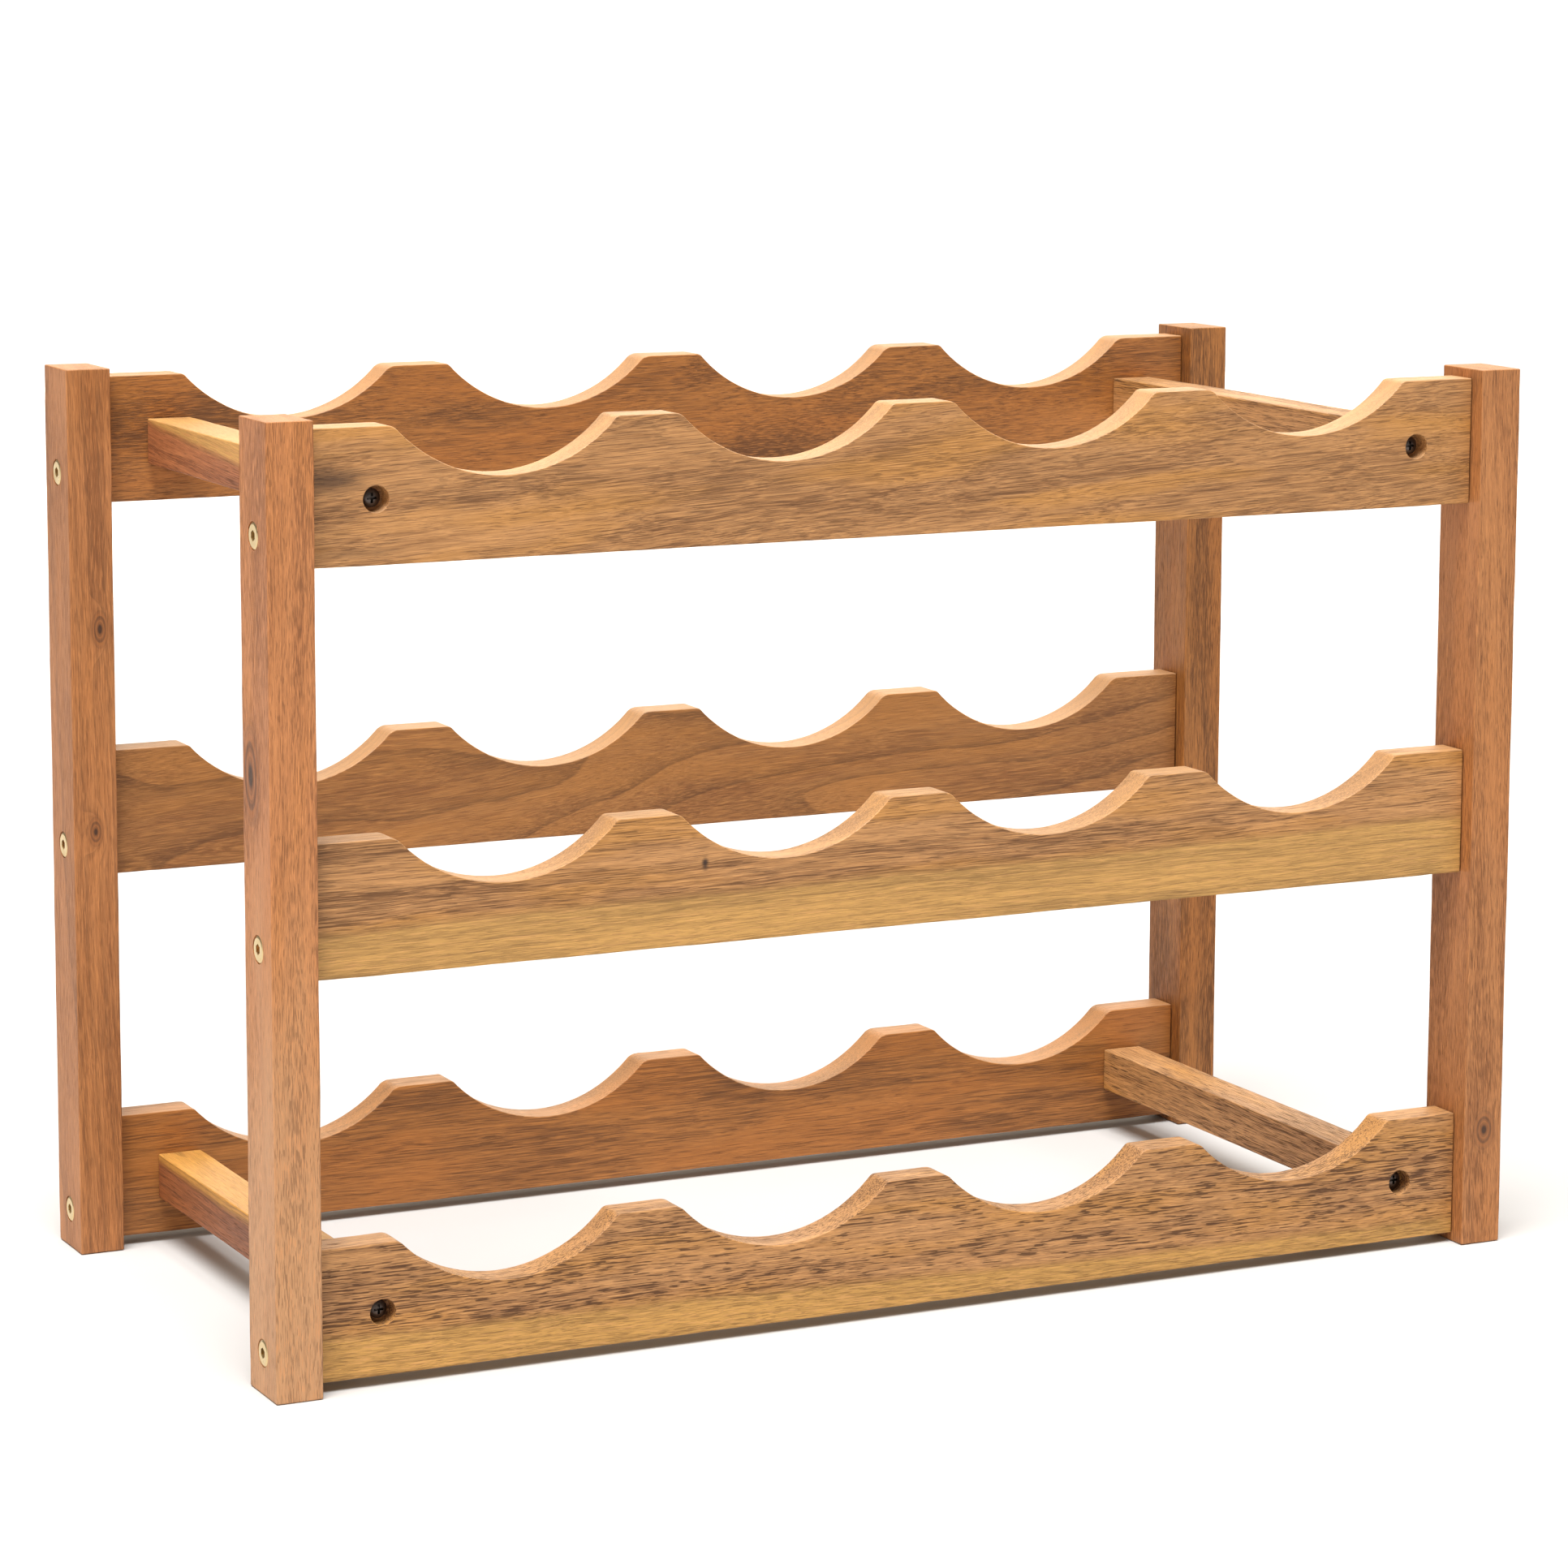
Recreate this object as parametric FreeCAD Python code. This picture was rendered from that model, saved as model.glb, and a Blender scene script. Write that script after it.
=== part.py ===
import FreeCAD, Part
import os

# Three-tier wooden wine rack that holds four bottles side by side on each tier.
# Four corner posts carry three pairs of scalloped rails. The rails of the top and
# bottom tiers are tied front to back by square crossbars. Every rail end is held by
# one connector screw through the post and one dowel above it, so it can't turn.
#
# Millimetres. Origin at the centre of the footprint, on the surface it stands on.
# +X is to the right along the rails, the front is towards -Y, +Z is up.

# ---- Driving dimensions ----

RACK_WIDTH = 430.0
RACK_DEPTH = 206.0
RACK_HEIGHT = 290.0

POST_WIDTH = 15.0          # along X
POST_DEPTH = 23.0          # along Y
POST_EDGE_RADIUS = 0.8

RAIL_HEIGHT = 41.0
RAIL_THICKNESS = 12.0
RAIL_EDGE_RADIUS = 0.8
LOWEST_RAIL_Z = 3.0        # underside of the bottom rails
TIER_PITCH = 121.5

CRADLES_PER_RAIL = 4
CRADLE_PITCH = 92.0
CRADLE_CHORD = 71.0        # width of a scallop at the rail's top edge
CRADLE_DEPTH = 16.0
CRADLE_CORNER_RADIUS = 3.0

CROSSBAR_SIZE = 15.0       # square section
CROSSBAR_GAP = 13.5        # between a post's inner face and the crossbar
CROSSBAR_Z = 19.5          # centre above its rail's underside
CROSSBAR_EDGE_RADIUS = 0.6

# Connector screw: flat head with a hexagon socket, sunk flush in the post's side.
CONNECTOR_Z = 10.0         # above the rail's underside
CONNECTOR_LENGTH = 50.0
CONNECTOR_RADIUS = 2.5
CONNECTOR_HEAD_RADIUS = 4.0
CONNECTOR_RIM = 0.5        # straight rim above the cone of the head
CONNECTOR_RIM_BEVEL = 0.3
CONNECTOR_SINK = 0.1       # head below the wood
CONNECTOR_TIP = 4.0
HEX_ACROSS_FLATS = 3.0
HEX_DEPTH = 2.4

# Crossbar screw: pan head with a cross recess, at the bottom of a counterbore.
COUNTERBORE_RADIUS = 3.8
COUNTERBORE_DEPTH = 5.5
CROSS_SCREW_RADIUS = 1.5
CROSS_SCREW_LENGTH = 36.0  # under the head
CROSS_SCREW_TIP = 3.5
CROSS_HEAD_RADIUS = 2.85
CROSS_HEAD_RIM = 0.9
CROSS_HEAD_DOME = 0.8
RECESS_WIDTH = 0.8
RECESS_SPAN = 3.0
RECESS_DEPTH = 1.5

DOWEL_Z = 31.0             # above the rail's underside
DOWEL_RADIUS = 3.0
DOWEL_LENGTH = 30.0
DOWEL_IN_POST = 10.0
DOWEL_CHAMFER = 0.5
SOCKET_SPARE = 1.0         # socket depth past a dowel's or a screw's end

SCREW_CLEARANCE = 0.15     # round a screw where its thread doesn't bite

# ---- Places that follow from the dimensions ----

RAIL_LENGTH = RACK_WIDTH - 2 * POST_WIDTH
POST_INNER_X = RAIL_LENGTH / 2
POST_CENTRE_X = (RACK_WIDTH - POST_WIDTH) / 2
POST_CENTRE_Y = (RACK_DEPTH - POST_DEPTH) / 2
CROSSBAR_X = POST_INNER_X - CROSSBAR_GAP - CROSSBAR_SIZE / 2
CROSSBAR_LENGTH = 2 * POST_CENTRE_Y - RAIL_THICKNESS

SIDES = {"left": -1, "right": 1}
ROWS = {"front": -1, "rear": 1}
TIERS = {"bottom": 0, "middle": 1, "top": 2}
CROSSBAR_TIERS = ("bottom", "top")

X_AXIS = FreeCAD.Vector(1, 0, 0)
Y_AXIS = FreeCAD.Vector(0, 1, 0)
Z_AXIS = FreeCAD.Vector(0, 0, 1)
ORIGIN = FreeCAD.Vector(0, 0, 0)


def rail_z(tier):
    """Underside of a tier's rails."""
    return LOWEST_RAIL_Z + TIERS[tier] * TIER_PITCH


def centred_box(size_x, size_y, size_z):
    """Box with its centre at the origin."""
    corner = FreeCAD.Vector(-size_x / 2, -size_y / 2, -size_z / 2)
    return Part.makeBox(size_x, size_y, size_z, corner)


def turned(outline):
    """Solid of revolution about +Z. The outline is a list of (radius, height) points
    that starts and ends on the axis."""
    points = [FreeCAD.Vector(radius, 0, height) for radius, height in outline]
    face = Part.Face(Part.makePolygon(points + [points[0]]))
    return face.revolve(ORIGIN, Z_AXIS, 360)


def aimed(shape, direction, place):
    """Copy of a shape drawn along +Z, turned to run along a direction from a place."""
    turn = FreeCAD.Rotation(Z_AXIS, direction)
    copy = shape.copy()
    copy.Placement = FreeCAD.Placement(place, turn)
    return copy


# ---- Fasteners, drawn with the head's top at the origin and the tip towards +Z ----


def connector_screw():
    """Connector screw with a flat head, a bevelled rim and a hexagon socket."""
    cone = CONNECTOR_HEAD_RADIUS - CONNECTOR_RADIUS
    outline = [
        (0, 0),
        (CONNECTOR_HEAD_RADIUS - 2 * CONNECTOR_RIM_BEVEL, 0),
        (CONNECTOR_HEAD_RADIUS, CONNECTOR_RIM_BEVEL),
        (CONNECTOR_HEAD_RADIUS, CONNECTOR_RIM),
        (CONNECTOR_RADIUS, CONNECTOR_RIM + cone),
        (CONNECTOR_RADIUS, CONNECTOR_LENGTH - CONNECTOR_TIP),
        (0, CONNECTOR_LENGTH),
    ]
    corner_radius = HEX_ACROSS_FLATS / 3 ** 0.5
    corners = []
    for step in range(7):
        turn = FreeCAD.Rotation(Z_AXIS, 60 * step)
        corners.append(turn.multVec(X_AXIS * corner_radius))
    socket = Part.Face(Part.makePolygon(corners)).extrude(Z_AXIS * HEX_DEPTH)
    return turned(outline).cut(socket)


def connector_hole():
    """Space for a connector screw. Its cone is the head's, so the head seats on it."""
    rim_radius = CONNECTOR_HEAD_RADIUS + SCREW_CLEARANCE
    rim_depth = CONNECTOR_SINK + CONNECTOR_RIM - SCREW_CLEARANCE
    shank_radius = CONNECTOR_RADIUS + SCREW_CLEARANCE
    cone = rim_radius - shank_radius
    thread_start = POST_WIDTH + SOCKET_SPARE
    bottom = CONNECTOR_SINK + CONNECTOR_LENGTH + SOCKET_SPARE
    outline = [
        (0, -SOCKET_SPARE),
        (rim_radius, -SOCKET_SPARE),
        (rim_radius, rim_depth),
        (shank_radius, rim_depth + cone),
        (shank_radius, thread_start),
        (CONNECTOR_RADIUS, thread_start),
        (CONNECTOR_RADIUS, bottom),
        (0, bottom),
    ]
    return turned(outline)


def cross_screw():
    """Wood screw with a low domed head and a cross recess."""
    seat = CROSS_HEAD_DOME + CROSS_HEAD_RIM
    rim = FreeCAD.Vector(CROSS_HEAD_RADIUS, 0, CROSS_HEAD_DOME)
    crown = FreeCAD.Vector(CROSS_HEAD_RADIUS * 0.62, 0, CROSS_HEAD_DOME * 0.25)
    dome = Part.Arc(ORIGIN, crown, rim).toShape()
    outline = [
        rim,
        FreeCAD.Vector(CROSS_HEAD_RADIUS, 0, seat),
        FreeCAD.Vector(CROSS_SCREW_RADIUS, 0, seat),
        FreeCAD.Vector(CROSS_SCREW_RADIUS, 0, seat + CROSS_SCREW_LENGTH - CROSS_SCREW_TIP),
        FreeCAD.Vector(0, 0, seat + CROSS_SCREW_LENGTH),
        ORIGIN,
    ]
    rest = Part.makePolygon(outline)
    face = Part.Face(Part.Wire([dome] + rest.Edges))
    screw = face.revolve(ORIGIN, Z_AXIS, 360)
    slot = centred_box(RECESS_SPAN, RECESS_WIDTH, 2 * RECESS_DEPTH)
    other_slot = centred_box(RECESS_WIDTH, RECESS_SPAN, 2 * RECESS_DEPTH)
    return screw.cut(slot).cut(other_slot)


def cross_screw_hole():
    """Counterbore, clearance through the rail and pilot in the crossbar, along +Z from
    the rail's outer face."""
    shank_radius = CROSS_SCREW_RADIUS + SCREW_CLEARANCE
    bottom = COUNTERBORE_DEPTH + CROSS_SCREW_LENGTH + SOCKET_SPARE
    outline = [
        (0, -SOCKET_SPARE),
        (COUNTERBORE_RADIUS, -SOCKET_SPARE),
        (COUNTERBORE_RADIUS, COUNTERBORE_DEPTH),
        (shank_radius, COUNTERBORE_DEPTH),
        (shank_radius, RAIL_THICKNESS),
        (CROSS_SCREW_RADIUS, RAIL_THICKNESS),
        (CROSS_SCREW_RADIUS, bottom),
        (0, bottom),
    ]
    return turned(outline)


def dowel():
    """Plain beech dowel with chamfered ends, along +Z from its end in the post."""
    end_radius = DOWEL_RADIUS - DOWEL_CHAMFER
    outline = [
        (0, 0),
        (end_radius, 0),
        (DOWEL_RADIUS, DOWEL_CHAMFER),
        (DOWEL_RADIUS, DOWEL_LENGTH - DOWEL_CHAMFER),
        (end_radius, DOWEL_LENGTH),
        (0, DOWEL_LENGTH),
    ]
    return turned(outline)


def dowel_socket():
    """Drilled hole for a dowel, with a little spare depth in the rail."""
    return Part.makeCylinder(DOWEL_RADIUS, DOWEL_LENGTH + SOCKET_SPARE)


# ---- Placing what repeats at the rail ends and crossbar ends ----


def at_rail_end(shape, side, row, tier, height, post_face_depth):
    """A fastener or its hole, on the axis of one rail end. It runs from the post
    towards the rack's middle, and starts post_face_depth in from the post's outer face."""
    sign = SIDES[side]
    start_x = sign * (RACK_WIDTH / 2 - post_face_depth)
    place = FreeCAD.Vector(start_x, ROWS[row] * POST_CENTRE_Y, rail_z(tier) + height)
    return aimed(shape, X_AXIS * -sign, place)


def at_crossbar_end(shape, side, row, tier, face_depth):
    """A crossbar screw or its hole, from the rail's outer face towards the crossbar."""
    sign = ROWS[row]
    start_y = sign * (POST_CENTRE_Y + RAIL_THICKNESS / 2 - face_depth)
    place = FreeCAD.Vector(SIDES[side] * CROSSBAR_X, start_y, rail_z(tier) + CROSSBAR_Z)
    return aimed(shape, Y_AXIS * -sign, place)


def rail_end_holes(side, row, tier):
    """The connector hole and the dowel socket of one rail end, through post and rail."""
    screw_hole = at_rail_end(connector_hole(), side, row, tier, CONNECTOR_Z, 0)
    socket_start = POST_WIDTH - DOWEL_IN_POST
    socket = at_rail_end(dowel_socket(), side, row, tier, DOWEL_Z, socket_start)
    return [screw_hole, socket]


# ---- Wooden pieces ----


def post(side, row):
    """Corner post with eased edges, drilled for three rail ends."""
    body = centred_box(POST_WIDTH, POST_DEPTH, RACK_HEIGHT)
    body = body.makeFillet(POST_EDGE_RADIUS, body.Edges)
    x = SIDES[side] * POST_CENTRE_X
    y = ROWS[row] * POST_CENTRE_Y
    body.translate(FreeCAD.Vector(x, y, RACK_HEIGHT / 2))
    holes = []
    for tier in TIERS:
        holes.extend(rail_end_holes(side, row, tier))
    return body.cut(holes)


def rail_outline():
    """Front outline of a rail in XZ, its underside at z = 0, with the scallops cut in
    the top edge as true arcs."""
    half = RAIL_LENGTH / 2
    top = RAIL_HEIGHT
    edges = []
    here = FreeCAD.Vector(-half, 0, top)
    first = -CRADLE_PITCH * (CRADLES_PER_RAIL - 1) / 2
    for number in range(CRADLES_PER_RAIL):
        centre = first + number * CRADLE_PITCH
        left = FreeCAD.Vector(centre - CRADLE_CHORD / 2, 0, top)
        low = FreeCAD.Vector(centre, 0, top - CRADLE_DEPTH)
        right = FreeCAD.Vector(centre + CRADLE_CHORD / 2, 0, top)
        edges.append(Part.makeLine(here, left))
        edges.append(Part.Arc(left, low, right).toShape())
        here = right
    corners = [
        here,
        FreeCAD.Vector(half, 0, top),
        FreeCAD.Vector(half, 0, 0),
        FreeCAD.Vector(-half, 0, 0),
        FreeCAD.Vector(-half, 0, top),
    ]
    return Part.Wire(edges + Part.makePolygon(corners).Edges)


def is_cradle_corner(edge):
    """True for the short edges across the rail where a scallop meets the top."""
    box = edge.BoundBox
    across = box.YLength > RAIL_THICKNESS / 2
    at_top = abs(box.ZMin - RAIL_HEIGHT) < 0.01
    inboard = abs(box.XMin) < RAIL_LENGTH / 2 - 1
    return across and at_top and inboard


def is_face_edge(edge):
    """True for the long outline edges of the front and rear faces, which are eased. The
    upright edges at the ends stay square, because they meet the posts."""
    box = edge.BoundBox
    along_face = box.YLength < 0.01
    upright = box.XLength < 0.01
    return along_face and not upright


def rail(row, tier):
    """Scalloped rail, drilled at both ends and, on a crossbar tier, through its face."""
    start = FreeCAD.Vector(0, -RAIL_THICKNESS / 2, 0)
    outline = rail_outline()
    outline.translate(start)
    body = Part.Face(outline).extrude(Y_AXIS * RAIL_THICKNESS)
    corners = [edge for edge in body.Edges if is_cradle_corner(edge)]
    body = body.makeFillet(CRADLE_CORNER_RADIUS, corners)
    face_edges = [edge for edge in body.Edges if is_face_edge(edge)]
    body = body.makeFillet(RAIL_EDGE_RADIUS, face_edges)
    body.translate(FreeCAD.Vector(0, ROWS[row] * POST_CENTRE_Y, rail_z(tier)))
    holes = []
    for side in SIDES:
        holes.extend(rail_end_holes(side, row, tier))
        if tier in CROSSBAR_TIERS:
            holes.append(at_crossbar_end(cross_screw_hole(), side, row, tier, 0))
    return body.cut(holes)


def crossbar(side, tier):
    """Square bar between the front and rear rails, with a pilot hole in each end."""
    body = centred_box(CROSSBAR_SIZE, CROSSBAR_LENGTH, CROSSBAR_SIZE)
    long_edges = [edge for edge in body.Edges if edge.BoundBox.YLength > CROSSBAR_SIZE]
    body = body.makeFillet(CROSSBAR_EDGE_RADIUS, long_edges)
    x = SIDES[side] * CROSSBAR_X
    body.translate(FreeCAD.Vector(x, 0, rail_z(tier) + CROSSBAR_Z))
    holes = [at_crossbar_end(cross_screw_hole(), side, row, tier, 0) for row in ROWS]
    return body.cut(holes)


# ---- Groups of identical fasteners ----


def post_screws(side, row):
    """The three connector screws of one post."""
    screw = connector_screw()
    return [at_rail_end(screw, side, row, tier, CONNECTOR_Z, CONNECTOR_SINK) for tier in TIERS]


def post_dowels(side, row):
    """The three dowels of one post."""
    pin = dowel()
    start = POST_WIDTH - DOWEL_IN_POST
    return [at_rail_end(pin, side, row, tier, DOWEL_Z, start) for tier in TIERS]


def crossbar_screws(side, tier):
    """The front and rear screws of one crossbar."""
    screw = cross_screw()
    head_height = CROSS_HEAD_DOME + CROSS_HEAD_RIM
    depth = COUNTERBORE_DEPTH - head_height
    return [at_crossbar_end(screw, side, row, tier, depth) for row in ROWS]


def save(name, solids):
    """Write one sub-part as parts/NAME.step."""
    shape = solids[0] if len(solids) == 1 else Part.makeCompound(solids)
    shape.exportStep("parts/" + name + ".step")
    print(name, len(shape.Solids), round(shape.Volume), shape.isValid())


os.makedirs("parts", exist_ok=True)

for row_name in ROWS:
    for side_name in SIDES:
        corner = row_name + "_" + side_name
        save(corner + "_post", [post(side_name, row_name)])
        save(corner + "_connector_screws", post_screws(side_name, row_name))
        save(corner + "_dowels", post_dowels(side_name, row_name))

for tier_name in TIERS:
    for row_name in ROWS:
        save(tier_name + "_" + row_name + "_rail", [rail(row_name, tier_name)])

for tier_name in CROSSBAR_TIERS:
    for side_name in SIDES:
        bar = tier_name + "_" + side_name + "_crossbar"
        save(bar, [crossbar(side_name, tier_name)])
        save(bar + "_screws", crossbar_screws(side_name, tier_name))
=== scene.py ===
# %% [markdown]
# # A wine rack in oiled acacia
# The rack is twelve bottles' worth of scalloped rails between four posts. The CAD model
# already says where every board is, how long it is and where its holes are. What it can't
# say is how the wood looks: eased and hand-sanded edges, pores, growth bands and knots.
# So this lesson keeps the model as a fixed frame and makes each board again around it.

# %% Load the frame
import math

import bmesh
import bpy
from mathutils import Matrix, Vector


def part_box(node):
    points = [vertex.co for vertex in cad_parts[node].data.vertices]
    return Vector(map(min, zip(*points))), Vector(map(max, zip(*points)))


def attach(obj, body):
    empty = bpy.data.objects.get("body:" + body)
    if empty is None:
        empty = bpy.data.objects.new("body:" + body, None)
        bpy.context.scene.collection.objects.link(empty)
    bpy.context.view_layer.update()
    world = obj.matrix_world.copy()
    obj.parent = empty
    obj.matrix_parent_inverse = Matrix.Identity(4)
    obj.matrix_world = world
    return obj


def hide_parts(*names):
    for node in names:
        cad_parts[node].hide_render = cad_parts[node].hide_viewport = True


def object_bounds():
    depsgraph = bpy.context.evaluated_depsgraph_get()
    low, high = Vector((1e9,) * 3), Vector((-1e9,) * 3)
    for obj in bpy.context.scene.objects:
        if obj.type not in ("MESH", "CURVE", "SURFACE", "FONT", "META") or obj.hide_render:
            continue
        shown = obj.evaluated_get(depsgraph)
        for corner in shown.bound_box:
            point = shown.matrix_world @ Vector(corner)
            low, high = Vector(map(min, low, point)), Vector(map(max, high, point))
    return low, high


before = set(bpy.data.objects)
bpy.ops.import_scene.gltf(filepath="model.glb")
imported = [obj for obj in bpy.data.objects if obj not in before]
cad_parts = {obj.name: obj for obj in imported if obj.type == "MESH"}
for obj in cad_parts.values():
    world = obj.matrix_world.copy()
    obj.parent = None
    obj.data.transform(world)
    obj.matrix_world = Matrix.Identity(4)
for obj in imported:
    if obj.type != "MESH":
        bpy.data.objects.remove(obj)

cad_low, cad_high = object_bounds()
print("CAD box", [round(v, 4) for v in cad_low], [round(v, 4) for v in cad_high])

# %% [markdown]
# ## Measures
# Blender works in metres, and MM turns millimetres into them. The boards' sizes and places
# come from the frame, so they can't drift from the CAD model. All posts are one size, and so
# are all rails and all crossbars, so one of each is enough.

# %% Read the boards' sizes from the frame
MM = 0.001
POST_LOW, POST_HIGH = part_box("front_left_post")
RAIL_LOW, RAIL_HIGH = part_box("top_front_rail")
BAR_LOW, BAR_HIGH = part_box("top_left_crossbar")
POST_SIZE = POST_HIGH - POST_LOW
RAIL_SIZE = RAIL_HIGH - RAIL_LOW
BAR_SIZE = BAR_HIGH - BAR_LOW
for board, size in (("post", POST_SIZE), ("rail", RAIL_SIZE), ("crossbar", BAR_SIZE)):
    print(board, [round(side / MM, 1) for side in size], "mm")

# %% [markdown]
# ## Where the holes are
# A box can't tell where a board is drilled. The holes are measured from a rail's underside,
# as with a drilling jig that is set against that edge, and every tier uses the same jig. A
# crossbar's screw goes into the middle of its end.

# %% Places of the holes
CONNECTOR_Z = 10 * MM
DOWEL_Z = 31 * MM
CROSS_SCREW_Z = 19.5 * MM
CROSS_SCREW_X = abs(BAR_LOW.x + BAR_HIGH.x) / 2
TIER_Z = [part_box(tier + "_front_rail")[0].z for tier in ("bottom", "middle", "top")]
print("tiers start at", [round(z / MM, 1) for z in TIER_Z], "mm")

# %% [markdown]
# ## Working by hand in code
# An operator acts on whatever is selected, and loading the frame leaves every CAD node
# selected. Each step therefore starts from nothing selected.

# %% Select one object, or none


def only_nothing():
    """Leave edit mode and deselect everything."""
    if bpy.context.mode != "OBJECT":
        bpy.ops.object.mode_set(mode="OBJECT")
    bpy.ops.object.select_all(action="DESELECT")


def only(piece):
    """Make one object the selected and active one."""
    only_nothing()
    piece.select_set(True)
    bpy.context.view_layer.objects.active = piece


only_nothing()
print(len(bpy.context.selected_objects), "objects are selected")

# %% [markdown]
# ## The post's blank
# All four posts are the same stick, so one is made at the front left and the others are
# copies. A cube of one metre, scaled to the post's size, is the planed blank. The scale is
# then applied, because a bevel on a scaled object would be wider one way than the other.

# %% Add the blank


def apply_place(piece):
    """Put the object's place, turn and size into its mesh."""
    only(piece)
    bpy.ops.object.transform_apply(location=True, rotation=True, scale=True)


def block(name, low, high):
    """A rectangular blank between two corners."""
    only_nothing()
    bpy.ops.mesh.primitive_cube_add(size=1, location=(low + high) / 2, scale=high - low)
    piece = bpy.context.active_object
    piece.name = name
    apply_place(piece)
    return piece


post_pattern = block("post_pattern", POST_LOW, POST_HIGH)
print("blank of", [round(side / MM, 1) for side in post_pattern.dimensions], "mm")

# %% [markdown]
# ## Eased edges
# Long edges are eased with a small round-over, so that they don't splinter. A Bevel modifier
# does it to every edge at once, and applying it leaves real faces.

# %% Ease the post's edges
EASING = 0.6 * MM
EASING_STEPS = 3


def apply_modifier(piece, kind, **settings):
    """Add a modifier, set it and apply it."""
    only(piece)
    modifier = piece.modifiers.new(kind.title(), kind)
    for name, value in settings.items():
        setattr(modifier, name, value)
    bpy.ops.object.modifier_apply(modifier=modifier.name)


apply_modifier(post_pattern, "BEVEL", width=EASING, segments=EASING_STEPS)
print("eased post has", len(post_pattern.data.polygons), "faces")

# %% [markdown]
# ## Drills
# A workshop makes holes with a drill, a counterbore and a countersink. A Boolean modifier
# with a cylinder or a cone does the same: the tool is an object, and what it overlaps is
# taken away. The exact solver keeps the rims clean. Each drill starts a little outside the
# wood, because faces that coincide confuse a Boolean.

# %% Cut with a drill
HOLE_SIDES = 48
SPARE = 1 * MM


def drill(piece, start, end, start_radius, end_radius=None, sides=HOLE_SIDES):
    """Cut a round hole from start to end. Two radii make a countersink."""
    end_radius = start_radius if end_radius is None else end_radius
    path = end - start
    only_nothing()
    bpy.ops.mesh.primitive_cone_add(
        vertices=sides,
        radius1=start_radius,
        radius2=end_radius,
        depth=path.length,
        location=(start + end) / 2,
        rotation=path.to_track_quat("Z", "Y").to_euler(),
    )
    tool = bpy.context.active_object
    apply_place(tool)
    apply_modifier(piece, "BOOLEAN", object=tool, operation="DIFFERENCE", solver="EXACT")
    bpy.data.objects.remove(tool)


print("a hole is a prism with", HOLE_SIDES, "sides")

# %% [markdown]
# ## Holes in a post
# At each tier a connector screw goes through the post. Its head sits in a shallow straight
# seat that narrows to the shank's hole, so three tools follow each other and overlap by a
# tenth of a millimetre or so. A dowel's socket above it starts inside the post.

# %% Drill the post
SEAT_RADIUS = 4.15 * MM
SHANK_RADIUS = 2.65 * MM
DOWEL_RADIUS = 3 * MM
SEAT_DEPTH = 0.45 * MM
CONE = (0.4 * MM, 1.95 * MM)
SHANK = (1.8 * MM, 51.1 * MM)
SOCKET = (5 * MM, 36 * MM)
RIGHT = Vector((1, 0, 0))
post_middle_y = (POST_LOW.y + POST_HIGH.y) / 2


def post_hole(tier_z, height):
    """Where a hole meets the post's outer face, on one tier."""
    return Vector((POST_LOW.x, post_middle_y, tier_z + height))


for tier_z in TIER_Z:
    face = post_hole(tier_z, CONNECTOR_Z)
    drill(post_pattern, face - RIGHT * SPARE, face + RIGHT * SEAT_DEPTH, SEAT_RADIUS)
    drill(post_pattern, face + RIGHT * CONE[0], face + RIGHT * CONE[1], SEAT_RADIUS, SHANK_RADIUS)
    drill(post_pattern, face + RIGHT * SHANK[0], face + RIGHT * SHANK[1], SHANK_RADIUS)
    face = post_hole(tier_z, DOWEL_Z)
    drill(post_pattern, face + RIGHT * SOCKET[0], face + RIGHT * SOCKET[1], DOWEL_RADIUS)
print("drilled post has", len(post_pattern.data.polygons), "faces")

# %% [markdown]
# ## A grid that can bend
# Sanding leaves the faces very slightly wavy, and a large flat face has nothing to bend. So
# the mesh is sliced by planes at an even spacing, after all the cutting, because a Boolean
# works best on few large faces. The mesh is made of triangles first, because a slice through
# a large face with many corners can go wrong, and a slice through a triangle can't.

# %% Slice the post
POST_GRID = 4 * MM
SAME_PLACE = 0.01 * MM
ON_PLANE = 0.001 * MM


def slice_grid(piece, low, high, spacing):
    """Slice the whole mesh by planes at an even spacing along each axis."""
    only(piece)
    bpy.ops.object.mode_set(mode="EDIT")
    bpy.ops.mesh.select_all(action="SELECT")
    bpy.ops.mesh.quads_convert_to_tris(ngon_method="BEAUTY")
    for axis in range(3):
        length = high[axis] - low[axis]
        slices = max(2, round(length / spacing))
        normal = Vector((0, 0, 0))
        normal[axis] = 1
        for number in range(1, slices):
            place = low.copy()
            place[axis] = low[axis] + length * number / slices
            bpy.ops.mesh.select_all(action="SELECT")
            bpy.ops.mesh.bisect(plane_co=place, plane_no=normal, threshold=ON_PLANE)
    bpy.ops.mesh.select_all(action="SELECT")
    bpy.ops.mesh.dissolve_degenerate(threshold=SAME_PLACE)
    bpy.ops.mesh.tris_convert_to_quads()
    bpy.ops.object.mode_set(mode="OBJECT")
    return len(piece.data.polygons)


print("post pattern has", slice_grid(post_pattern, POST_LOW, POST_HIGH, POST_GRID), "faces")

# %% [markdown]
# ## Marking the drilled faces
# Inside a hole the wood is cut across and took up oil, so it is darker, and its walls are also
# given painted shade, nearly black, for the dark of the recess. A board therefore has three
# materials: its own, one for drilled walls and one for torn rims. A face is marked by
# how far its middle is from a hole's axis, which needs no picking by hand.

# %% Mark the post's holes
SHADED_HOLE_WALL, TORN = 1, 2
BELOW_FACE = 0.05 * MM


def off_axis(place, start, path):
    """Distance of a place from a hole's axis."""
    away = place - start
    return (away - away.project(path)).length


def mark(piece, rule, number):
    """Give the faces whose middles satisfy the rule another of the board's materials."""
    chosen = [face for face in piece.data.polygons if rule(face.center)]
    for face in chosen:
        face.material_index = number
    return len(chosen)


# The walls of the connector seats get the drilled wood, which carries painted shade.
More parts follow.
